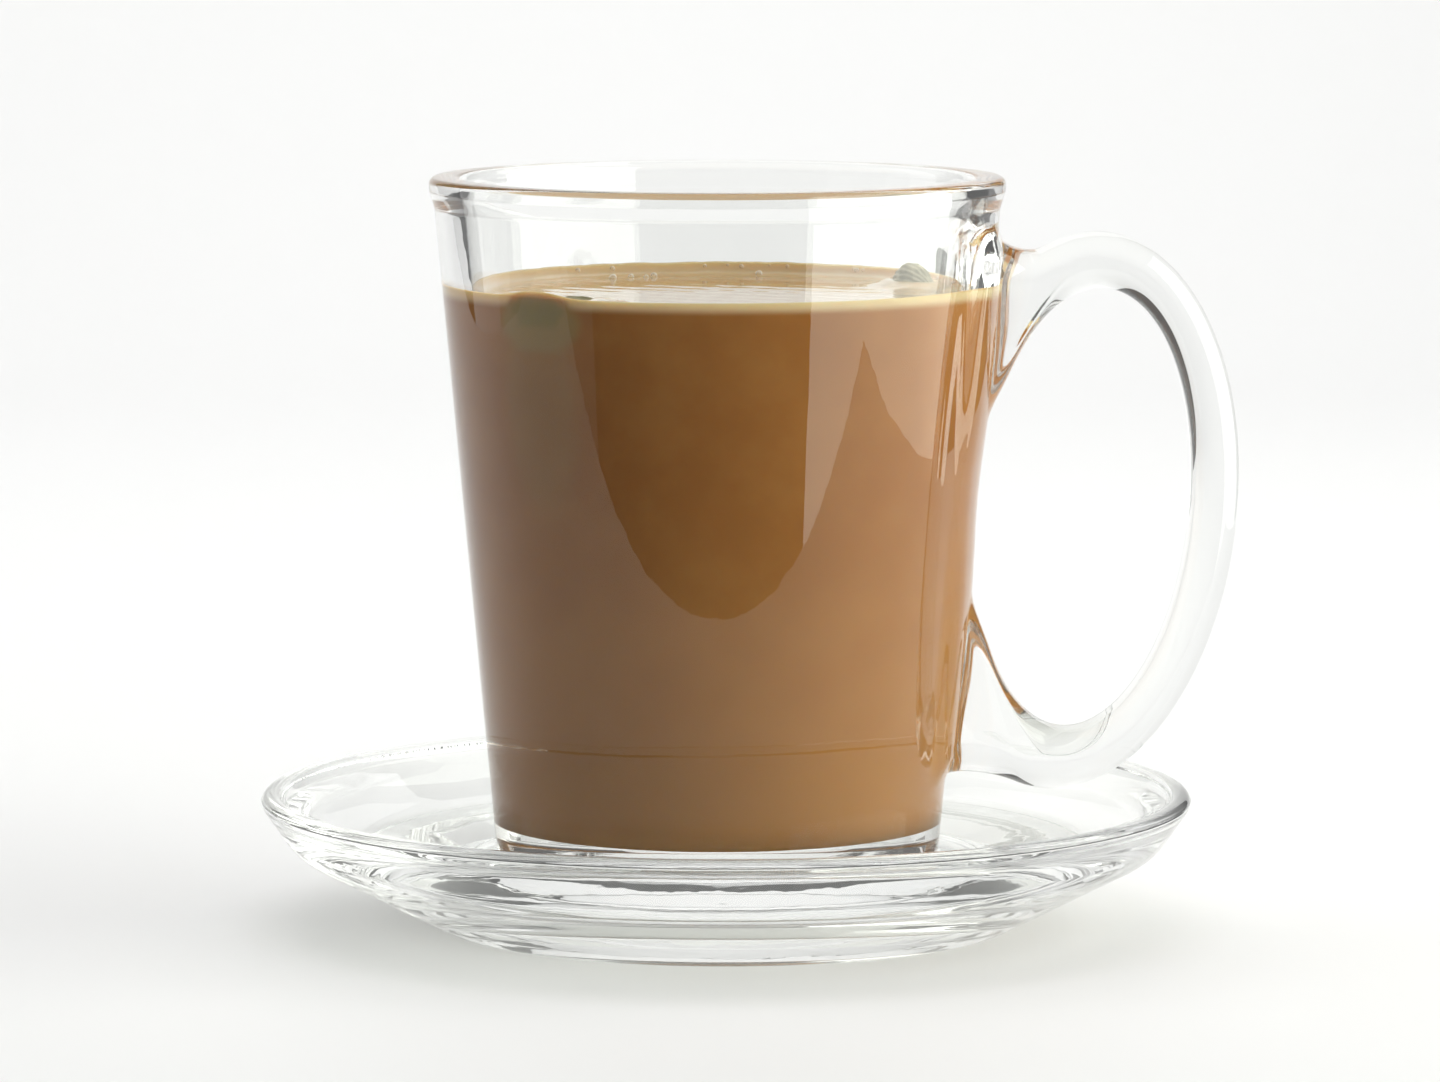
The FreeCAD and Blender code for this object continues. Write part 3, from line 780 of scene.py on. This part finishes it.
def film():
    """A pale skin whose cover grows from 0.2 in the middle to 0.9 at the rim."""
    m = Material("bubble_film")
    rim = m.node("ShaderNodeLayerWeight", {}, {"Blend": 0.35}, out="Facing")
    return m.finish(m.node("ShaderNodeBsdfPrincipled", {}, {
        "Base Color": rgba(0.85, 0.80, 0.72), "Roughness": 0.05, "IOR": 1.33, "Alpha": 0.2 + 0.7 * rim}))


soaked_husk = husk("soaked_cardamom_husk", (0.115, 0.095, 0.036), (0.20, 0.185, 0.075))
pale_husk = husk("pale_cardamom_husk", (0.17, 0.15, 0.085), (0.42, 0.38, 0.26))
film_material = film()

# %% [markdown]
# ## Put the finishes on and hang everything on the frame
#
# The object is one rigid body, so every piece rides on `root`. Each piece stands for its CAD node,
# and the bubbles simply ride along. The tea has two finishes: its upper faces, those that look up and
# lie above 80 mm, are the free surface.

# %% Dress the pieces
def dress(piece, material, cad_node):
    """Put a finish on a piece, hang it on the frame and hide the CAD node that it stands for."""
    piece.data.materials.append(material)
    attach(piece, "root")
    if cad_node:
        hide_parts(cad_node)


dress(mug, mug_material, "mug")
dress(saucer, saucer_material, "saucer")
dress(tea, side_material, "chai")
dress(pods["front"], soaked_husk, "pod_front")
dress(pods["back"], pale_husk, "pod_back")
dress(bubbles, film_material, None)

tea.data.materials.append(top_material)
normals = np.empty(len(tea.data.polygons) * 3)
centres = np.empty(len(tea.data.polygons) * 3)
tea.data.polygons.foreach_get("normal", normals)
tea.data.polygons.foreach_get("center", centres)
is_top = (normals.reshape(-1, 3)[:, 2] > 0.05) & (centres.reshape(-1, 3)[:, 2] > 0.08)
tea.data.polygons.foreach_set("material_index", is_top.astype(np.int32))
print("faces of the free surface:", int(is_top.sum()))

# %% [markdown]
# ## Floor and backdrop
#
# Clear glass is drawn by what surrounds it. Behind the mug is a sweep of pale paper: a level floor
# that curves up into a wall. Beyond its edges the glass finds the dim room, and that gives it its
# dark outlines: the wider the sweep, the thinner they are.

# %% Make the sweep
PAPER_Z = -0.1              # a hair under the saucer's foot
FRONT_Y, WALL_Y, WALL_TOP, BEND = -180, 1300, 1700, 500
LEFT_EDGE, RIGHT_EDGE = (-450, -200), (330, 70)        # x at the front, and how much more at the back


def pale_paper():
    m = Material("pale_paper")
    return m.finish(m.node("ShaderNodeBsdfPrincipled", {}, {
        "Base Color": rgba(0.86, 0.86, 0.86), "Roughness": 0.6}))


def make_sweep():
    """A level board that curves up into a wall. Its profile is carried along x between two edges that
    draw apart towards the back."""
    path = densify(rounded_profile([
        (FRONT_Y, PAPER_Z, 0), (WALL_Y, PAPER_Z, BEND), (WALL_Y, WALL_TOP, 0)], steps=24), 60)
    wider = soft_step(path[:, :1], 200, 900)
    share = np.array([0.0, 1.0])[None, :]
    left, right = (edge + more * wider for edge, more in (LEFT_EDGE, RIGHT_EDGE))
    x = (1 - share) * left + share * right
    points = np.stack([x, path[:, :1] + 0 * x, path[:, 1:] + 0 * x], axis=-1)
    piece = make_piece("sweep", [(points, grid_quads(len(path), 2, closed=False))])
    piece.data.materials.append(pale_paper())


make_sweep()

# %% [markdown]
# ## Lights
#
# A large bright panel at the right and three dimmer ones at the left, stronger towards the back,
# are what the sides of the mug mirror. Between the front edges of these panels lies the dark front of
# the room, and its reflection is the dark shield in the middle of the tea. Two more lights, over the
# object and over the backdrop, only brighten surfaces: the glass doesn't mirror them. The room itself
# is dim, but it is seen bright behind the sweep.

# %% Hang the lights
def soft_light(name, place, aim, size, power, colour=(1, 1, 1)):
    """A rectangular area light at a place, turned towards a point."""
    lamp = bpy.data.lights.new(name, "AREA")
    lamp.shape, lamp.size, lamp.size_y = "RECTANGLE", size[0], size[1]
    lamp.energy, lamp.color = power, colour
    holder = bpy.data.objects.new(name, lamp)
    direction = np.array(aim) - np.array(place)
    holder.rotation_euler = Vector(direction).to_track_quat("-Z", "Y").to_euler()
    holder.location = place
    bpy.context.scene.collection.objects.link(holder)
    return holder


def panel(name, x, front, rear, bottom, top, radiance, colour=(1, 1, 1)):
    """An upright soft light beside the object, from front to rear along y. Its power is its radiance
    times pi times its area."""
    size = (rear - front, top - bottom)
    place = (x, (front + rear) / 2, (bottom + top) / 2)
    power = radiance * math.pi * size[0] * size[1]
    return soft_light(name, place, (0, place[1], place[2]), size, power, colour)


right_panel = panel("right_panel", 0.75, -0.926, 0.35, -0.35, 0.95, 2.8, (0.98, 1.0, 0.93))
left_front = panel("left_front_panel", -0.75, -0.565, -0.05, -0.35, 0.85, 0.25)
left_middle = panel("left_middle_panel", -0.74, -0.05, 0.15, -0.35, 0.85, 0.5)
left_rear = panel("left_rear_panel", -0.73, 0.15, 0.45, -0.35, 0.85, 0.9)
top_panel = soft_light("top_panel", (0, 0.15, 1.3), (0, 0.15, 0), (1.2, 1.0), 9)
back_panel = soft_light("backdrop_wash", (0, 0.5, 1.4), (0, 1.4, 0.4), (1.6, 0.5), 11)
for lamp in (right_panel, left_front, left_middle, left_rear, top_panel, back_panel):
    lamp.visible_camera = False
for lamp in (top_panel, back_panel):
    lamp.visible_glossy = lamp.visible_transmission = False

# How bright the room is for the glass and the tea, and how bright it looks past the sweep.
ROOM_FOR_OBJECTS, ROOM_SEEN = 0.12, 0.8

world = bpy.data.worlds.new("studio")
bpy.context.scene.world = world
world.use_nodes = True
background = world.node_tree.nodes["Background"]
background.inputs["Color"].default_value = rgba(1, 1, 1)
ray = world.node_tree.nodes.new("ShaderNodeLightPath")
strength = world.node_tree.nodes.new("ShaderNodeMapRange")
strength.inputs["To Min"].default_value = ROOM_FOR_OBJECTS
strength.inputs["To Max"].default_value = ROOM_SEEN
world.node_tree.links.new(ray.outputs["Is Camera Ray"], strength.inputs["Value"])
world.node_tree.links.new(strength.outputs["Result"], background.inputs["Strength"])
print("lights:", len(bpy.data.lights))

# %% [markdown]
# ## Camera
#
# A long lens stands about a metre away and looks down by some 6 degrees, so that the tea's surface is
# seen as a thin ellipse. Light that enters thick glass is thrown about inside it many times before it leaves,
# so the paths may have many bends.

# %% Place the camera
DOWN = 6.42                 # degrees below the level

camera_data = bpy.data.cameras.new("camera")
camera_data.lens, camera_data.sensor_width = 175.5, 36.0
camera_data.clip_end = 50
camera = bpy.data.objects.new("camera", camera_data)
camera.location = (-0.00085, -0.974, 0.1627)
camera.rotation_euler = (math.radians(90 - DOWN), 0, 0)
bpy.context.scene.collection.objects.link(camera)
bpy.context.scene.camera = camera
bpy.context.scene.view_settings.view_transform = "Standard"

paths = bpy.context.scene.cycles
paths.max_bounces, paths.glossy_bounces, paths.transmission_bounces = 32, 24, 24
print("camera at", [round(v, 3) for v in camera.location])
